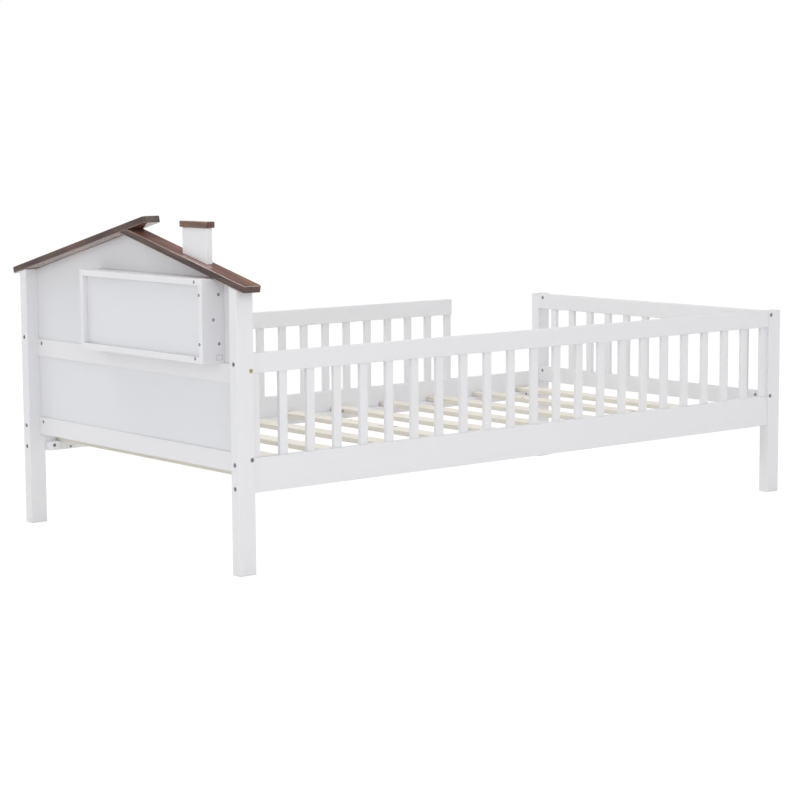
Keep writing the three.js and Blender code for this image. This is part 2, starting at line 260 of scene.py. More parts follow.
def effect_group(name, inputs, outputs):
    """An empty shader group with named sockets, and its input and output nodes."""
    group = bpy.data.node_groups.new(name, "ShaderNodeTree")
    for label, kind, value in inputs:
        socket = group.interface.new_socket(name=label, in_out="INPUT", socket_type=kind)
        if value is not None:
            socket.default_value = value
    for label, kind in outputs:
        group.interface.new_socket(name=label, in_out="OUTPUT", socket_type=kind)
    return group, add_node(group, "NodeGroupInput"), add_node(group, "NodeGroupOutput")


def feed(tree, socket, value):
    """Sets a number on a socket, or links an output into it."""
    if isinstance(value, (int, float)):
        socket.default_value = value
    else:
        tree.links.new(value, socket)


def maths(tree, operation, *values):
    """A Math node. Each value is a number or an output."""
    node = add_node(tree, "ShaderNodeMath", operation=operation)
    for socket, value in zip(node.inputs, values):
        feed(tree, socket, value)
    return node.outputs[0]


def total(tree, first, *others):
    """The sum of several values, added one after the other."""
    for value in others:
        first = maths(tree, "ADD", first, value)
    return first


def stretched(tree, place, share):
    """The place with its run along the board scaled, so what is drawn there stretches that way."""
    node = add_node(tree, "ShaderNodeVectorMath", operation="MULTIPLY")
    node.inputs[1].default_value = (share, 1, 1)
    tree.links.new(place, node.inputs[0])
    return node.outputs[0]


def noise(tree, place, scale, detail):
    """Soft noise at a scale, which is a number or an output."""
    node = add_node(tree, "ShaderNodeTexNoise")
    node.inputs["Detail"].default_value = detail
    tree.links.new(place, node.inputs["Vector"])
    feed(tree, node.inputs["Scale"], scale)
    return node.outputs["Fac"]


# %% Timber figure
timber_figure, start, end = effect_group(
    "timber_figure",
    [("Place", ARROW, None), ("Ring Spacing", NUMBER, 0.006), ("Waver", NUMBER, 0.01)],
    [("Rings", NUMBER), ("Fibre", NUMBER)])
tree = timber_figure
place = start.outputs["Place"]
slow = noise(tree, stretched(tree, place, 0.16), scale=11, detail=3)
pith_distance = add_node(tree, "ShaderNodeVectorMath", operation="LENGTH")
tree.links.new(stretched(tree, place, 0), pith_distance.inputs[0])
swing = maths(tree, "SUBTRACT", slow, 0.5)
swing = maths(tree, "MULTIPLY", swing, start.outputs["Waver"])
year = maths(tree, "ADD", pith_distance.outputs["Value"], swing)
year = maths(tree, "DIVIDE", year, start.outputs["Ring Spacing"])
year = maths(tree, "PINGPONG", year, 0.5)
year = maths(tree, "MULTIPLY", year, 2)
rings = maths(tree, "POWER", year, 2.2)
fibre = noise(tree, stretched(tree, place, 0.03), scale=700, detail=2)
join(tree, (rings, end.inputs["Rings"]), (fibre, end.inputs["Fibre"]))
print("group", timber_figure.name, "has", len(tree.nodes), "nodes")

# %% Edge wear and highlight, cloud and stipple
edge_wear_and_highlight, start, end = effect_group(
    "edge_wear_and_highlight",
    [("Place", ARROW, None), ("Edge", NUMBER, 0.0), ("Patch Scale", NUMBER, 30.0),
     ("Amount", NUMBER, 0.5)],
    [("Mask", NUMBER)])
tree = edge_wear_and_highlight
patches = noise(tree, start.outputs["Place"], start.outputs["Patch Scale"], detail=4)
broken = add_node(tree, "ShaderNodeMapRange")
settle(broken, {"From Min": 0.35, "From Max": 0.65, "To Min": 0.3})
tree.links.new(patches, broken.inputs["Value"])
worn = maths(tree, "MULTIPLY", broken.outputs["Result"], start.outputs["Edge"])
worn = maths(tree, "MULTIPLY", worn, start.outputs["Amount"])
tree.links.new(worn, end.inputs["Mask"])

cloud, start, end = effect_group(
    "cloud",
    [("Place", ARROW, None), ("Scale", NUMBER, 4.0), ("Low", NUMBER, 0.0), ("High", NUMBER, 1.0)],
    [("Value", NUMBER)])
tree = cloud
puffs = noise(tree, start.outputs["Place"], start.outputs["Scale"], detail=3)
spread = add_node(tree, "ShaderNodeMapRange")
settle(spread, {"From Min": 0.25, "From Max": 0.75})
join(
    tree,
    (puffs, spread.inputs["Value"]),
    (start.outputs["Low"], spread.inputs["To Min"]),
    (start.outputs["High"], spread.inputs["To Max"]),
    (spread.outputs["Result"], end.inputs["Value"]))

stipple, start, end = effect_group(
    "stipple", [("Place", ARROW, None), ("Scale", NUMBER, 260.0)], [("Height", NUMBER)])
dimples = noise(stipple, start.outputs["Place"], start.outputs["Scale"], detail=2)
stipple.links.new(dimples, end.inputs["Height"])
print("groups", [group.name for group in bpy.data.node_groups])

# %% [markdown]
# ## Finishes
#
# White paint covers the posts, rails and guards. It is satin, so the shader's own roughness does
# most of the work, and the grain below only shows as a slight relief. The panels and the box are
# smooth board, with more stipple and hardly any grain, and the white of the panels and the box's
# back is a little darker, as painted shade for recessed boards.

# %% Helper for finishes


def marked(tree, attribute, output="Fac"):
    """What one of the mesh's attributes says."""
    return add_node(tree, "ShaderNodeAttribute", attribute_name=attribute).outputs[output]


def finish(name):
    """A new material, its tree and its shader, and where each point lies in its board."""
    material = bpy.data.materials.new(name)
    material.use_nodes = True
    tree = material.node_tree
    return material, tree, tree.nodes["Principled BSDF"], marked(tree, "grain", "Vector")


def effect(tree, group, links, values):
    """One of the shared effects, with its links and its values."""
    node = add_node(tree, "ShaderNodeGroup", node_tree=group)
    for label, output in links.items():
        tree.links.new(output, node.inputs[label])
    settle(node, values)
    return node.outputs


def figured(tree, place, spacing, waver):
    """The growth rings and fibres of a board."""
    return effect(tree, timber_figure, {"Place": place}, {"Ring Spacing": spacing, "Waver": waver})


def edge_wear_and_highlight_mask(tree, place, scale, amount):
    """The broken mask of the eased edges."""
    links = {"Place": place, "Edge": marked(tree, "edge")}
    return effect(tree, edge_wear_and_highlight, links, {"Patch Scale": scale, "Amount": amount})["Mask"]


def clouded(tree, place, scale, low, high):
    """A cloud between two values."""
    return effect(tree, cloud, {"Place": place}, {"Scale": scale, "Low": low, "High": high})["Value"]


# %% Colour, gloss and relief


def tinted(tree, factor, first, second):
    """A mix of two colours, each a colour or an output."""
    node = add_node(tree, "ShaderNodeMix", data_type="RGBA")
    tree.links.new(factor, node.inputs["Factor"])
    for label, value in (("A", first), ("B", second)):
        socket = [s for s in node.inputs if s.name == label and s.type == "RGBA"][0]
        if isinstance(value, tuple):
            socket.default_value = (*value, 1)
        else:
            tree.links.new(value, socket)
    return [s for s in node.outputs if s.type == "RGBA"][0]


def coat(tree, shader, colour, gloss):
    """Links a colour and a roughness into the shader."""
    join(tree, (colour, shader.inputs["Base Color"]), (gloss, shader.inputs["Roughness"]))


def relief(tree, shader, height, strength, distance):
    """Height that varies over the surface becomes a bump on the shader."""
    bump = add_node(tree, "ShaderNodeBump")
    settle(bump, {"Strength": strength, "Distance": distance})
    join(tree, (height, bump.inputs["Height"]), (bump.outputs["Normal"], shader.inputs["Normal"]))


# %% White paint
paint_white = (0.80, 0.798, 0.815)
paint_shade = (0.69, 0.69, 0.705)
# The panels' white and grey are darker than the posts': painted shade for recessed boards.
panel_white_with_shade = (0.75, 0.755, 0.775)
panel_grey_with_shade = (0.66, 0.665, 0.68)


def white_paint(name, grain_share, stipple_share, white, shaded):
    """Satin white paint. The shares say how much of the grain and of the stipple shows in its relief."""
    material, tree, shader, place = finish(name)
    figure = figured(tree, place, spacing=0.009, waver=0.02)
    edge_mask = edge_wear_and_highlight_mask(tree, place, scale=24.0, amount=0.30)
    drift = clouded(tree, place, scale=3.0, low=0.0, high=0.10)
    tone = marked(tree, "tone")
    dimple = effect(tree, stipple, {"Place": place}, {"Scale": 320.0})
    lines = maths(tree, "MULTIPLY", figure["Rings"], 0.06 * grain_share)
    own_tone = maths(tree, "MULTIPLY", tone, 0.10)
    shade = total(tree, lines, drift, edge_mask, own_tone)
    gloss = clouded(tree, place, scale=14.0, low=0.36, high=0.48)
    coat(tree, shader, tinted(tree, shade, white, shaded), gloss)
    fibres = maths(tree, "MULTIPLY", figure["Fibre"], 0.5 * grain_share)
    swell = maths(tree, "MULTIPLY", figure["Rings"], 0.8 * grain_share)
    dimples = maths(tree, "MULTIPLY", dimple["Height"], stipple_share)
    height = total(tree, fibres, swell, dimples)
    relief(tree, shader, height, strength=0.25, distance=0.0004)
    return material


painted_pine = white_paint("painted_pine", 1.0, 0.5, paint_white, paint_shade)
painted_board = white_paint("painted_board", 0.12, 0.8, paint_white, paint_shade)
panel_paint_with_shade = white_paint("panel_paint_with_shade", 0.12, 0.8, panel_white_with_shade, panel_grey_with_shade)
print("finishes", painted_pine.name, painted_board.name, panel_paint_with_shade.name)

# %% [markdown]
# The roof planks and the chimney's cap are lacquered dark brown. Lacquer is a coloured film under a
# clear one: the base keeps the grain, and the shader's coat gives the sharp highlight. A `side_shade`
# attribute darkens the narrow sides and ends of a plank as painted shade. The eased edges are paler,
# partly from wear and partly as a painted highlight, which draws the thin light line along the roof.
# A slow red blush comes and goes over a plank, and how much of it a board has differs from board to
# board.

# %% Brown lacquer
lacquer_dark = (0.056, 0.026, 0.020)
lacquer_light = (0.365, 0.206, 0.110)
lacquer_red = (0.275, 0.126, 0.130)
lacquer_side_shade = (0.026, 0.014, 0.015)
lacquer_rub_and_highlight = (0.60, 0.47, 0.42)


def brown_lacquer(name):
    """Dark lacquer with the grain showing through it."""
    material, tree, shader, place = finish(name)
    figure = figured(tree, place, spacing=0.011, waver=0.05)
    # The eased edges: partly wear, partly a painted highlight on the upper edges, tinted paler below.
    edge_mask = edge_wear_and_highlight_mask(tree, place, scale=18.0, amount=0.75)
    drawn = stretched(tree, place, 0.10)
    streak = clouded(tree, drawn, scale=55.0, low=-0.1, high=0.95)
    blush = clouded(tree, place, scale=4.0, low=0.0, high=1.15)
    blush_here = maths(tree, "MULTIPLY", blush, marked(tree, "tone"))
    side_shade_spread = clouded(tree, drawn, scale=90.0, low=0.52, high=1.0)
    fuzz = maths(tree, "MULTIPLY", figure["Fibre"], 0.35)
    lines = maths(tree, "ADD", fuzz, streak)
    rings_shade = maths(tree, "MULTIPLY", figure["Rings"], 0.40)
    lines = maths(tree, "SUBTRACT", lines, rings_shade)
    body = tinted(tree, lines, lacquer_dark, lacquer_light)
    body = tinted(tree, blush_here, body, lacquer_red)
    # Painted shade: a plank's narrow sides and ends are darker, a little unevenly.
    side_shade_amount = maths(tree, "MULTIPLY", marked(tree, "side_shade"), side_shade_spread)
    body = tinted(tree, side_shade_amount, body, lacquer_side_shade)
    gloss = clouded(tree, place, scale=20.0, low=0.42, high=0.58)
    coat(tree, shader, tinted(tree, edge_mask, body, lacquer_rub_and_highlight), gloss)
    settle(shader, {"Specular IOR Level": 0.15, "Coat Weight": 1.0, "Coat Roughness": 0.07})
    height = maths(tree, "ADD", figure["Fibre"], figure["Rings"])
    relief(tree, shader, height, strength=0.22, distance=0.0004)
    return material


roof_lacquer = brown_lacquer("roof_lacquer")
print("finish", roof_lacquer.name)

# %% [markdown]
# The slats are bare planed pine: cream early wood, tan late wood, a few knots, and no gloss. Their
# sides are darker than their tops as painted shade, and a `side_shade` attribute marks them.
# The knots are where a stretched cell pattern comes near its points.

# %% Bare pine
pine_pale = (0.87, 0.85, 0.815)
pine_ring = (0.74, 0.68, 0.57)
pine_side_shade = (0.685, 0.652, 0.57)
pine_knot = (0.22, 0.125, 0.065)


def bare_pine(name):
    """Unfinished pine with rings, fibres and knots."""
    material, tree, shader, place = finish(name)
    figure = figured(tree, place, spacing=0.0055, waver=0.03)
    edge_mask = edge_wear_and_highlight_mask(tree, place, scale=30.0, amount=0.35)
    drift = clouded(tree, place, scale=5.0, low=0.0, high=0.22)
    tone = marked(tree, "tone")
    lines = maths(tree, "MULTIPLY", figure["Rings"], 0.55)
    fuzz = maths(tree, "MULTIPLY", figure["Fibre"], 0.22)
    own_tone = maths(tree, "MULTIPLY", tone, 0.25)
    shade = total(tree, lines, fuzz, drift, edge_mask, own_tone)
    wood = tinted(tree, shade, pine_pale, pine_ring)
    # Painted shade: the slats' sides are darker than their tops.
    shaded_side = maths(tree, "MULTIPLY", marked(tree, "side_shade"), 0.75)
    wood = tinted(tree, shaded_side, wood, pine_side_shade)
    knots = add_node(tree, "ShaderNodeTexVoronoi")
    knots.inputs["Scale"].default_value = 9
    tree.links.new(stretched(tree, place, 0.6), knots.inputs["Vector"])
    knot = add_node(tree, "ShaderNodeMapRange")
    settle(knot, {"From Min": 0.045, "From Max": 0.10, "To Min": 0.85, "To Max": 0.0})
    tree.links.new(knots.outputs["Distance"], knot.inputs["Value"])
    gloss = clouded(tree, place, scale=12.0, low=0.58, high=0.74)
    coat(tree, shader, tinted(tree, knot.outputs["Result"], wood, pine_knot), gloss)
    height = maths(tree, "ADD", figure["Fibre"], figure["Rings"])
    relief(tree, shader, height, strength=0.35, distance=0.0005)
    return material


slat_pine = bare_pine("slat_pine")
print("finish", slat_pine.name)

# %% [markdown]
# The bolts are dark zinc, but for one on the near head post that shines like brass, and the screws
# are darker and duller. A metal's colour is its reflection, so only roughness and a faint tarnish
# vary over it.

# %% Metals
# Each plating has its colour, its tarnish, and its lowest and highest roughness.
platings = {
    "dark_zinc": ((0.40, 0.40, 0.41), (0.23, 0.225, 0.22), 0.34, 0.50),
    "brass_plate": ((0.72, 0.61, 0.34), (0.46, 0.37, 0.18), 0.26, 0.40),
    "black_zinc": ((0.085, 0.085, 0.090), (0.050, 0.048, 0.046), 0.50, 0.66),
}


def fastener_metal(name, colour, tarnish, low, high):
    """A plated metal with slight tarnish and uneven gloss."""
    material, tree, shader, place = finish(name)
    stain = clouded(tree, place, scale=500.0, low=0.0, high=0.6)
    gloss = clouded(tree, place, scale=900.0, low=low, high=high)
    coat(tree, shader, tinted(tree, stain, colour, tarnish), gloss)
    shader.inputs["Metallic"].default_value = 1.0
    dimple = effect(tree, stipple, {"Place": place}, {"Scale": 1500.0})
    relief(tree, shader, dimple["Height"], strength=0.15, distance=0.0001)
    return material


metals = {name: fastener_metal(name, *looks) for name, looks in platings.items()}
print("finishes", list(metals))

# %% [markdown]
# ## Boards with eased edges
#
# Each wooden piece has sharp corners in the frame. A joiner eases them with a small round-over, and
# that narrow curve is what catches the light. Scaling a cube would lose the bolt holes and grooves,
# so a piece starts as a copy of its node's mesh. Its flat faces are merged, its outer corners are
# bevelled, and the new narrow faces are marked in an `edge` attribute for the finishes to read.
# The rims of bolt holes, grooves and housings stay sharp, because another piece fills them.

# %% Easing a node
touching = 0.0001
merging = 0.000001
flat_angle = math.radians(0.5)
corner_angle = math.radians(50)
smooth_angle = math.radians(35)


def copy_of(node):
    """The node's mesh in a new bmesh, with its flat faces merged and room for its edge marks."""
    work = bmesh.new()
    work.from_mesh(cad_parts[node].data)
    work.faces.layers.float.new("edge")
    bmesh.ops.remove_doubles(work, verts=work.verts, dist=merging)
    bmesh.ops.dissolve_limit(work, angle_limit=flat_angle, verts=work.verts, edges=work.edges)
    return work


def ends_square(work, along, low_end=True, high_end=True):
    """A test for the edges at a board's two ends, where it butts against another board."""
    reach = [vert.co.dot(along) for vert in work.verts]
    stops = [stop for stop, wanted in ((min(reach), low_end), (max(reach), high_end)) if wanted]
    return lambda edge: any(
        all(abs(vert.co.dot(along) - stop) < touching for vert in edge.verts) for stop in stops)


def outermost(work):
    """The faces that no part of the board reaches beyond, so not the walls of holes and housings."""
    work.normal_update()
    points = [vert.co.copy() for vert in work.verts]
    outer = set()
    for face in work.faces:
        level = face.normal.dot(face.verts[0].co)
        if max(face.normal.dot(point) for point in points) < level + 2 * touching:
            outer.add(face)
    return outer


def is_corner(edge):
    """Whether an edge is a sharp corner that points outward."""
    return len(edge.link_faces) == 2 and edge.calc_face_angle_signed() > corner_angle


def ease(work, radius, square=None, shortest=None, outer_only=True):
    """Rounds over the outer corners that aren't kept square, and returns the narrow faces it makes."""
    outer = outermost(work) if outer_only else None
    sharp = [
        edge for edge in work.edges
        if is_corner(edge)
        and edge.calc_length() > (radius if shortest is None else shortest)
        and (outer is None or all(face in outer for face in edge.link_faces))
        and not (square and square(edge))
    ]
    made = bmesh.ops.bevel(
        work, geom=sharp, offset=radius, offset_type="OFFSET", segments=4, profile=0.5,
        affect="EDGES", clamp_overlap=False)
    return made["faces"]


# %% Grain on a mesh
ALONG_X = Vector((1, 0, 0))
ALONG_Y = Vector((0, 1, 0))
ALONG_Z = Vector((0, 0, 1))
side_shade_turn = 0.45
steep = 0.9
nearest_pith = 0.03
furthest_pith = 0.075
trunk_length = 20


def board_axes(along):
    """The two directions across a board."""
    aside = along.cross(ALONG_Z if abs(along.z) < steep else ALONG_X).normalized()
    return aside, aside.cross(along)


def shift_for(key):
    """Where a board was taken from its tree, and its tone, both fixed by the board's name."""
    chance = random.Random(key)
    away = chance.uniform(nearest_pith, furthest_pith)
    round_pith = chance.uniform(0, 2 * math.pi)
    down_trunk = chance.uniform(0, trunk_length)
    shift = Vector((down_trunk, away * math.cos(round_pith), away * math.sin(round_pith)))
    return shift, chance.random()


def lay_grain(mesh, board_at, side_shade=()):
    """Writes on each face corner where it lies in its board, along the board first, and its tone.

    Faces that look along one of the `side_shade` arrows are marked for painted shade. An arrow shorter
    than 1 marks them less.
    """
    places = [0.0] * (3 * len(mesh.loops))
    shades = [0.0] * len(mesh.loops)
    side_shade_values = [0.0] * len(mesh.loops)
    for face in mesh.polygons:
        along, centre, key = board_at(face.center)
        aside, above = board_axes(along)
        shift, shade = shift_for(key)
        # A face turned far enough towards a `side_shade` arrow is marked for painted shade.
        facing = [(abs(face.normal.dot(way)), way.length) for way in side_shade]
        side_shade_value = max((turn for turn, share in facing if turn > side_shade_turn * share), default=0.0)
        for corner in face.loop_indices:
            point = mesh.vertices[mesh.loops[corner].vertex_index].co - centre
            place = Vector((point.dot(along), point.dot(aside), point.dot(above))) + shift
            places[3 * corner:3 * corner + 3] = place
            shades[corner] = shade
            side_shade_values[corner] = side_shade_value
    mesh.attributes.new("grain", "FLOAT_VECTOR", "CORNER")
    mesh.attributes["grain"].data.foreach_set("vector", places)
    mesh.attributes.new("tone", "FLOAT", "CORNER")
    mesh.attributes["tone"].data.foreach_set("value", shades)
    if side_shade:
        mesh.attributes.new("side_shade", "FLOAT", "CORNER")
        mesh.attributes["side_shade"].data.foreach_set("value", side_shade_values)


# %% Making a piece
still_flat = 0.995
full_turn = 0.12
looks_up = 0.1
# Narrow faces that look up get full wear and painted highlight; the others get this share.
wear_and_highlight_share_below = 0.25


def turned_away(face, along):
    """How far a face has turned from the flat faces of its board, from 0 to 1."""
    flat = max(abs(face.normal.dot(way)) for way in (along, *board_axes(along)))
    return max(0.0, min(1.0, (still_flat - flat) / full_turn))


def wear_and_highlight_on(face, along):
    """Wear on a narrow face, and on lacquer a painted highlight: most mid-curve, less unless it looks
    up.
    """
    return turned_away(face, along) * (1.0 if face.normal.z > looks_up else wear_and_highlight_share_below)


def placed(name, mesh, material):
    """An object for the mesh, with its finish, which rides the bed."""
    mesh.materials.clear()
    mesh.materials.append(material)
    piece = bpy.data.objects.new(name, mesh)
    scene.collection.objects.link(piece)
    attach(piece, "root")
    return piece


def make_piece(node, work, narrow, material, board_at, side_shade=(), rounded=()):
    """Turns the bmesh into an object that stands for the node, with its grain, edges and finish.

    Only the narrow and the rounded faces shade smoothly, so a board's flat faces stay truly flat.
    The frame's own corner normals no longer fit the new edges, so they are dropped.
    """
    marks = work.faces.layers.float.get("edge") or work.faces.layers.float.new("edge")
    work.normal_update()
    for face in work.faces:
        face.smooth = False
    for face in (*narrow, *rounded):
        if face.is_valid:
            face.smooth = True
    for face in narrow:
        if face.is_valid:
            face[marks] = wear_and_highlight_on(face, board_at(face.calc_center_median())[0])
    mesh = bpy.data.meshes.new("dressed_" + node)
    work.to_mesh(mesh)
    work.free()
    old_normals = mesh.attributes.get("custom_normal")
    if old_normals:
        mesh.attributes.remove(old_normals)
    lay_grain(mesh, board_at, side_shade)
    # Marking the sharp edges makes every face smooth, so the flat faces are set flat again.
    is_smooth = [face.use_smooth for face in mesh.polygons]
    mesh.set_sharp_from_angle(angle=smooth_angle)
    mesh.polygons.foreach_set("use_smooth", is_smooth)
    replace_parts(placed(mesh.name, mesh, material), node)


def whole_board(node, along):
    """A board whose grain runs one way all over."""
    low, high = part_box(node)
    centre = (low + high) / 2
    return lambda point: (along, centre, node)


def eased_board(node, along, radius, material, butted=False, side_shade=()):
    """The usual case: one node, one board. A butted board's ends meet other boards and stay square."""
    work = copy_of(node)
    square = ends_square(work, along) if butted else None
    narrow = ease(work, radius, square)
    make_piece(node, work, narrow, material, whole_board(node, along), side_shade)


# %% [markdown]
# ## The frame of the bed
#
# Posts, rails and ledgers are single boards. Each one's grain runs along its length.

# %% Posts, rails and ledgers
post_radius = 0.0022
post_joint_radius = 0.0008
rail_radius = 0.0018
foot_rail_radius = 0.0012


def beside_rail(work, end):
    """A test for the edges of a post's inner face, where the side rails and guards meet it flush."""
    inner_x = (max if end == "head" else min)(vert.co.x for vert in work.verts)
    return lambda edge: all(abs(vert.co.x - inner_x) < touching for vert in edge.verts)


for side in ("near", "far"):
    for end in ("head", "foot"):
        node = f"{side}_{end}_post"
        work = copy_of(node)
        joint = beside_rail(work, end)
        narrow = ease(work, post_joint_radius, lambda edge: not joint(edge))
        narrow += ease(work, post_radius)
        make_piece(node, work, narrow, painted_pine, whole_board(node, ALONG_Z))
for node in ("near_side_rail", "far_side_rail", "near_ledger", "far_ledger"):
    eased_board(node, ALONG_X, rail_radius, painted_pine, butted=True)
for node in ("head_lower_rail", "head_middle_rail"):
    eased_board(node, ALONG_Y, rail_radius, painted_pine, butted=True)
eased_board("foot_lower_rail", ALONG_Y, foot_rail_radius, painted_pine, butted=True)

# %% [markdown]
# ## The guards
#
# A guard is a top rail with upright bars glued into it, and it is one node. Its grain turns at each
# joint, so the faces above the rail's underside follow the rail and the others follow their bar.

# %% Guards
guard_rail_height = 0.050
guard_bar_pitch = 0.080
guard_bar_slice = 0.004
guard_joint_slack = 0.0005


def guard_boards(node, rail_along):
    """Which board of a guard a point lies in: the top rail, or one of its bars.

    A bar's faces measure from close to their own middles, so all bars lie equally deep in a tree.
    """
    low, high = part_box(node)
    under = high.z - guard_rail_height
    rail_centre = (low + high) / 2
    rail_centre.z = high.z - guard_rail_height / 2

    def board_at(point):
        if point.z > under - guard_joint_slack:
            return rail_along, rail_centre, node + "_rail"
        from_end = point.dot(rail_along) - low.dot(rail_along)
        number = round(from_end / guard_bar_pitch)
        centre = rail_centre + rail_along * (point.dot(rail_along) - rail_centre.dot(rail_along))
        centre = centre - rail_along * (from_end % guard_bar_slice)
        return ALONG_Z, centre, f"{node}_bar_{number}"

    return board_at


for node, rail_along in (("near_guard", ALONG_X), ("far_guard", ALONG_X), ("foot_guard", ALONG_Y)):
    work = copy_of(node)
    square = ends_square(work, rail_along, high_end=node != "far_guard")
    narrow = ease(work, rail_radius, square, outer_only=False)
    make_piece(node, work, narrow, painted_pine, guard_boards(node, rail_along))
print("guards dressed")

# %% [markdown]
# ## The headboard's panels and storage box
#
# These are smooth painted board, so they take the finishes with the least grain. The box's boards
# are eased more than its thin back and the thin panels.

# %% Panels and box
panel_radius = 0.0008
box_radius = 0.0012
box_back_radius = 0.0005

# The panels and the box's back take the darker panel paint, which is painted shade.
for node in ("lower_panel", "gable_panel"):
    eased_board(node, ALONG_Y, panel_radius, panel_paint_with_shade)
for node in ("box_top", "box_bottom", "box_shelf"):
    eased_board(node, ALONG_Y, box_radius, painted_board)
for node in ("box_near_side", "box_far_side"):
    eased_board(node, ALONG_Z, box_radius, painted_board)
eased_board("box_back", ALONG_Y, box_back_radius, panel_paint_with_shade)
print("headboard dressed")

# %% [markdown]
# ## Roof and chimney
#
# The planks slope, so their grain follows the slope, and the far one runs on over the ridge.

# %% Roof and chimney
roof_pitch = math.radians(13.3)
up_from_near = Vector((0, math.cos(roof_pitch), math.sin(roof_pitch)))
up_from_far = Vector((0, -math.cos(roof_pitch), math.sin(roof_pitch)))
plank_corner_radius = 0.007
plank_arris_radius = 0.0021
plank_short_edge = 0.0005
upright_turn = 0.98
corner_edge_length = 0.010
round_face_area = 0.00006
cap_radius = 0.0011
cap_side_shade_share = 0.4
chimney_radius = 0.0015


def roof_plank(node, uphill, ridge_end_free):
    """A plank with rounded corners at its free ends, and a small round-over all the way round."""
    work = copy_of(node)
    above = board_axes(uphill)[1]
    reach = [vert.co.dot(uphill) for vert in work.verts]
    half_way = (min(reach) + max(reach)) / 2
    free_corners = []
    for edge in work.edges:
        first, second = edge.verts
        upright = abs((first.co - second.co).normalized().dot(above)) > upright_turn
        free_end = ridge_end_free or first.co.dot(uphill) < half_way
        if upright and free_end and is_corner(edge) and edge.calc_length() > corner_edge_length:
            free_corners.append(edge)
    made = bmesh.ops.bevel(
        work, geom=free_corners, offset=plank_corner_radius, offset_type="OFFSET", segments=6,
        profile=0.5, affect="EDGES", clamp_overlap=False)
    square = None if ridge_end_free else ends_square(work, uphill, low_end=False)
    narrow = ease(work, plank_arris_radius, square, shortest=plank_short_edge)
    print(node, "corners rounded:", len(free_corners), "faces:", len(made["faces"]))
    rounded = [
        face for face in work.faces
        if turned_away(face, uphill) > 0 and face.calc_area() < round_face_area
    ]
    # The planks' front, back and end faces get painted shade.
    make_piece(
        node, work, narrow, roof_lacquer, whole_board(node, uphill),
        side_shade=(ALONG_X, uphill), rounded=rounded)


roof_plank("near_roof_plank", up_from_near, False)
roof_plank("far_roof_plank", up_from_far, True)
# The cap's sides and ends get a share of the painted shade.
cap_sides = (ALONG_X * cap_side_shade_share, ALONG_Y * cap_side_shade_share)
eased_board("chimney_cap", ALONG_Y, cap_radius, roof_lacquer, side_shade=cap_sides)
eased_board("chimney_board", ALONG_Z, chimney_radius, painted_board)
print("roof dressed")

# %% [markdown]
# ## Slats
#
# Ten bare boards lie on the ledgers. Each takes its own place in the tree, so no two match.

# %% Slats
slat_radius = 0.0025
slat_nodes = [f"slat_{number}" for number in range(1, 11)]
# The slats' sides, which face along X, get painted shade.
for node in slat_nodes:
    eased_board(node, ALONG_Y, slat_radius, slat_pine, side_shade=(ALONG_X,))
print("slats dressed")

# %% [markdown]
# ## Bolts and barrel nuts
#
# Each joint has a socket-head bolt through the post and a barrel nut across the rail. They are
# turned parts, so each is made from rings of points round an axis. The socket is six-sided, so its
# rings follow a hexagon, and the nut's end has a slot for a screwdriver.

# %% Turned parts
round_points = 48
half_points = 16
lobe_share = 0.38


def circle(radius):
    """The radius of a round ring at any angle."""
    return lambda angle: radius


def hexagon(across_flats):
    """The radius of a six-sided ring at any angle."""
    return lambda angle: across_flats / 2 / math.cos((angle % (math.pi / 3)) - math.pi / 6)


def cross_recess(radius):
    """The radius of a ring with four lobes, as in a cross-head screw."""
    return lambda angle: radius * (1 - lobe_share + lobe_share * math.cos(4 * angle))


def skin(work, low, high):
    """Faces all the way round between two loops of points."""
    for i in range(len(low)):
        j = (i + 1) % len(low)
        work.faces.new((low[i], low[j], high[j], high[i]))


def turned(work, base, along, rings):
    """Skins rings of points round an axis. Each ring is a radius rule and a distance along it."""
    aside = along.orthogonal().normalized()
    above = along.cross(aside)
    loops = []
    for rule, distance in rings:
        loop = []
        for i in range(round_points):
            angle = 2 * math.pi * i / round_points
            out = aside * math.cos(angle) + above * math.sin(angle)
            loop.append(work.verts.new(base + along * distance + out * rule(angle)))
        loops.append(loop)
    work.faces.new(list(reversed(loops[0])))
    work.faces.new(loops[-1])
    for low, high in zip(loops, loops[1:]):
        skin(work, low, high)


def slotted_end(work, base, along, radius, slot_width, height):
    """Two raised halves that leave a slot between them."""
    aside = along.orthogonal().normalized()
    above = along.cross(aside)
    reach = math.asin(slot_width / 2 / radius)
    for half in (radius, -radius):
        outline = []
        for i in range(half_points + 1):
            angle = reach + (math.pi - 2 * reach) * i / half_points
            outline.append(aside * (math.cos(angle) * half) + above * (math.sin(angle) * half))
        low = [work.verts.new(base + p) for p in outline]
        high = [work.verts.new(base + p + along * height) for p in outline]
        work.faces.new(high)
        work.faces.new(list(reversed(low)))
        skin(work, low, high)


print("each turned ring has", round_points, "points")

# %% Placing the bolts
bolt_radius = 0.003
bolt_head_radius = 0.006
bolt_head_height = 0.004
bolt_sinking = 0.001
socket_across = 0.0045
socket_depth = 0.0025
nut_radius = 0.005
nut_inset = 0.020
nut_sinking = 0.0008
nut_end_wall = 0.002
fit_gap = 0.0003
chamfer = 0.0005
slot_width = 0.0012
slot_depth = 0.001
brass_bolt = "bolt_near_head_middle_cross"


def middle(node):
    """The middle of a node's box."""
    low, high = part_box(node)
    return (low + high) / 2


def size(node):
    """The size of a node's box."""
    low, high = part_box(node)
    return high - low


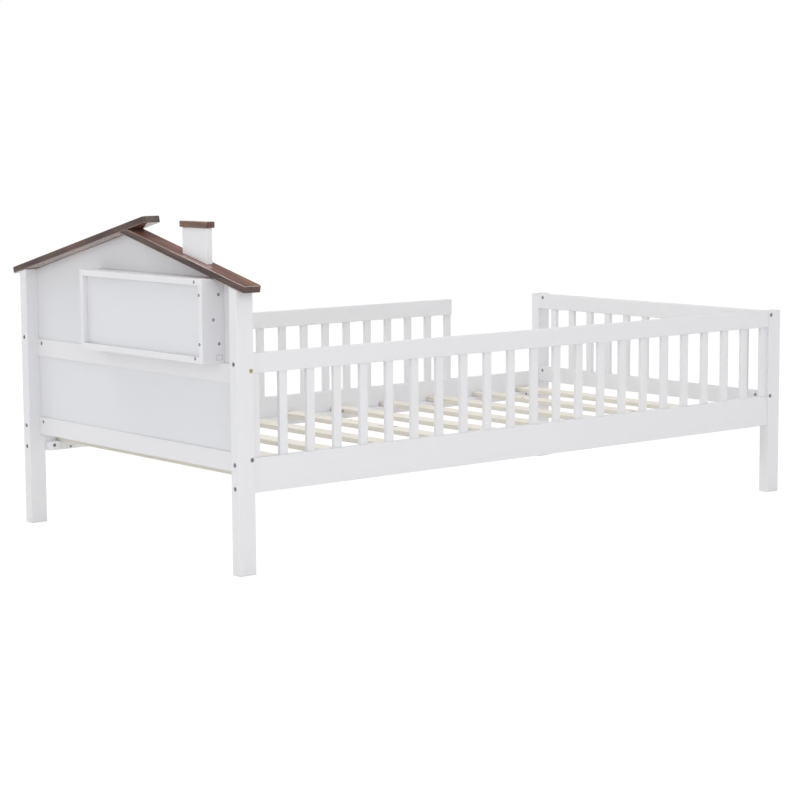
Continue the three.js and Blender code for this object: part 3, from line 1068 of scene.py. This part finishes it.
def bolt_piece(node, head_top, along, post_size, nut_facing, rail_thickness):
    """A bolt and its nut, where the frame has them."""
    work = bmesh.new()
    turned(work, head_top, along, [
        (hexagon(socket_across), socket_depth),
        (hexagon(socket_across), chamfer / 2),
        (hexagon(socket_across + chamfer), 0),
        (circle(bolt_head_radius - chamfer), 0),
        (circle(bolt_head_radius - chamfer / 4), chamfer / 4),
        (circle(bolt_head_radius), chamfer),
        (circle(bolt_head_radius), bolt_head_height),
        (circle(bolt_radius), bolt_head_height),
        (circle(bolt_radius), post_size - bolt_sinking + nut_inset + nut_radius),
    ])
    nut_middle = head_top + along * (post_size - bolt_sinking + nut_inset)
    nut_top = nut_middle + nut_facing * (rail_thickness / 2 - nut_sinking)
    nut_length = rail_thickness - nut_end_wall - nut_sinking - fit_gap
    turned(work, nut_top - nut_facing * nut_length, nut_facing, [
        (circle(nut_radius - chamfer), 0),
        (circle(nut_radius), chamfer),
        (circle(nut_radius), nut_length - slot_depth),
    ])
    slotted_end(work, nut_top - nut_facing * slot_depth, nut_facing, nut_radius, slot_width, slot_depth)
    bmesh.ops.recalc_face_normals(work, faces=work.faces)
    plating, slot = ("brass_plate", "brass") if node == brass_bolt else ("dark_zinc", "dark_steel")
    make_piece(
        node, work, [], metals[plating], lambda point: (along, head_top, node),
        rounded=list(work.faces))


def place_bolt(end, side, part):
    """Finds a joint's axis from its post and rail, and makes its bolt."""
    node = f"bolt_{side}_{end}_{part}"
    post = f"{side}_{end}_post"
    low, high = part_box(post)
    across = ALONG_Y if side == "near" else -ALONG_Y
    lengthwise = ALONG_X if end == "head" else -ALONG_X
    height = middle(node).z
    if part.endswith("cross"):
        rail = "head_middle_rail" if end == "head" else "foot_lower_rail"
        outer = low.y if side == "near" else high.y
        head_top = Vector((middle(rail).x, outer, height)) + across * bolt_sinking
        bolt_piece(node, head_top, across, size(post).y, -ALONG_X, size(rail).x)
    else:
        outer = low.x if end == "head" else high.x
        head_top = Vector((outer, middle(post).y, height)) + lengthwise * bolt_sinking
        bolt_piece(node, head_top, lengthwise, size(post).x, across, size(side + "_side_rail").y)


bolt_nodes = sorted(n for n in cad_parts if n.startswith("bolt_"))
for node in bolt_nodes:
    _, side, end, part = node.split("_", 3)
    place_bolt(end, side, part)
print("bolts dressed:", len(bolt_nodes))

# %% [markdown]
# ## Small screws
#
# Screws hold the storage box together, the ledgers to the rails and the slats to the ledgers. They
# show as small grey dots in the photograph. Each is a shallow countersunk head with a cross recess.

# %% Screws
screw_proud = 0.00005
screw_depth = 0.0012
screw_foot_share = 0.7
screw_lip_share = 0.96
screw_cone_share = 0.9
recess_share = 0.62
recess_foot_share = 0.40
recess_floor_share = 0.3


def small_part(name, work, material, along, centre):
    """A part too small for a node of its own in the frame."""
    bmesh.ops.recalc_face_normals(work, faces=work.faces)
    mesh = bpy.data.meshes.new(name)
    work.to_mesh(mesh)
    work.free()
    mesh.attributes.new("edge", "FLOAT", "FACE")
    lay_grain(mesh, lambda point: (along, centre, name))
    mesh.set_sharp_from_angle(angle=smooth_angle)
    placed(name, mesh, material)


def screw(name, point, out, radius):
    """A countersunk head, flush with the face that it is in."""
    work = bmesh.new()
    turned(work, point - out * screw_depth, out, [
        (circle(radius * screw_foot_share), 0),
        (circle(radius), screw_depth * screw_cone_share),
        (circle(radius * screw_lip_share), screw_depth + screw_proud),
        (cross_recess(radius * recess_share), screw_depth + screw_proud),
        (cross_recess(radius * recess_foot_share), screw_depth * recess_floor_share),
    ])
    small_part(name, work, metals["black_zinc"], out, point)


outer_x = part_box("box_near_side")[0].x
near_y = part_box("box_near_side")[0].y
far_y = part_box("box_far_side")[1].y
box_screw_radius = 0.004
screw_from_side = 0.033
edge_screw_from_side = 0.0120
side_screw_depth = 0.0514
shelf_screw_depth = 0.0344
shelf_screw_rise = 0.0035
bottom_screw_rise = 0.0035
side_screw_heights = {"upper": 0.702, "lower": 0.578}

for board, rise in (("box_top", 0), ("box_bottom", bottom_screw_rise)):
    place = Vector((outer_x, near_y + screw_from_side, middle(board).z + rise))
    screw(board.replace("box_", "box_screw_"), place, -ALONG_X, box_screw_radius)
for label, height in side_screw_heights.items():
    place = Vector((outer_x, near_y + edge_screw_from_side, height))
    screw(f"box_screw_edge_{label}", place, -ALONG_X, box_screw_radius)
for side, face_y, out in (("near", near_y, -ALONG_Y), ("far", far_y, ALONG_Y)):
    for label, height in side_screw_heights.items():
        place = Vector((outer_x + side_screw_depth, face_y, height))
        screw(f"box_screw_{side}_{label}", place, out, box_screw_radius)
    place = Vector((outer_x + shelf_screw_depth, face_y, middle("box_shelf").z + shelf_screw_rise))
    screw(f"box_screw_{side}_shelf", place, out, box_screw_radius)

# %% Screws in ledgers and slats
small_screw_radius = 0.0035
ledger_screws = 7
ledger_screw_from_head = 0.072
ledger_screw_from_foot = 0.074
ledger_screw_height = 0.006
ledger_screw_climb = 0.010
slat_screw_from_end = 0.012

for side, inward in (("near", ALONG_Y), ("far", -ALONG_Y)):
    low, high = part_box(side + "_ledger")
    face_y = high.y if side == "near" else low.y
    reach = high.x - low.x - ledger_screw_from_head - ledger_screw_from_foot
    for i in range(ledger_screws):
        share = i / (ledger_screws - 1)
        x = low.x + ledger_screw_from_head + share * reach
        place = Vector((x, face_y, low.z + ledger_screw_height + share * ledger_screw_climb))
        screw(f"ledger_screw_{side}_{i + 1}", place, inward, small_screw_radius)

for number, node in enumerate(slat_nodes, 1):
    low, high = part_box(node)
    ends = (("near", low.y + slat_screw_from_end), ("far", high.y - slat_screw_from_end))
    for side, y in ends:
        place = Vector(((low.x + high.x) / 2, y, high.z))
        screw(f"slat_screw_{side}_{number}", place, ALONG_Z, small_screw_radius)

# %% [markdown]
# Under the lower screw on the box's near side the photograph shows a small rectangle, drawn by a
# thin line. It is taken for a wooden plug in the side board. A thin grey rim round it is painted
# shade, for the shadow in the plug's joint.

# %% Plug and its joint
# The rim's grey is painted shade.
joint_shade_dark = (0.20, 0.195, 0.19)
joint_shade_pale = (0.30, 0.295, 0.29)
joint_width = 0.0008
joint_proud = 0.0001
plug_from_outer = 0.0435
plug_length = 0.0170
plug_bottom = 0.5372
plug_height = 0.0118
plug_proud = 0.0003
plug_depth = 0.0012
plug_radius = 0.0004


def joint_shadow_line(name):
    """A grey rim of painted shade for a joint, a little uneven."""
    material, tree, shader, place = finish(name)
    patches = clouded(tree, place, scale=300.0, low=0.0, high=1.0)
    colour = tinted(tree, patches, joint_shade_dark, joint_shade_pale)
    tree.links.new(colour, shader.inputs["Base Color"])
    shader.inputs["Roughness"].default_value = 0.9
    return material


plug_low = Vector((outer_x + plug_from_outer, near_y - plug_proud, plug_bottom))
plug_high = plug_low + Vector((plug_length, plug_proud + plug_depth, plug_height))
plug_middle = (plug_low + plug_high) / 2
work = bmesh.new()
bmesh.ops.create_cube(work, size=1.0)
for vert in work.verts:
    vert.co = plug_middle + vert.co * (plug_high - plug_low)
ease(work, plug_radius)
small_part("box_side_plug", work, painted_board, ALONG_Y, plug_middle)

work = bmesh.new()
rings = []
front, back = near_y - joint_proud, near_y + plug_depth
for y, outward in ((front, joint_width), (front, 0), (back, 0), (back, joint_width)):
    left, right = plug_low.x - outward, plug_high.x + outward
    bottom, top = plug_low.z - outward, plug_high.z + outward
    corners = ((left, bottom), (right, bottom), (right, top), (left, top))
    rings.append([work.verts.new((x, y, z)) for x, z in corners])
for first, second in zip(rings, rings[1:] + rings[:1]):
    skin(work, first, second)
small_part("box_side_plug_joint", work, joint_shadow_line("joint_shadow_line"), ALONG_X, plug_middle)
print("plug", [round(1000 * side, 1) for side in plug_high - plug_low], "mm")
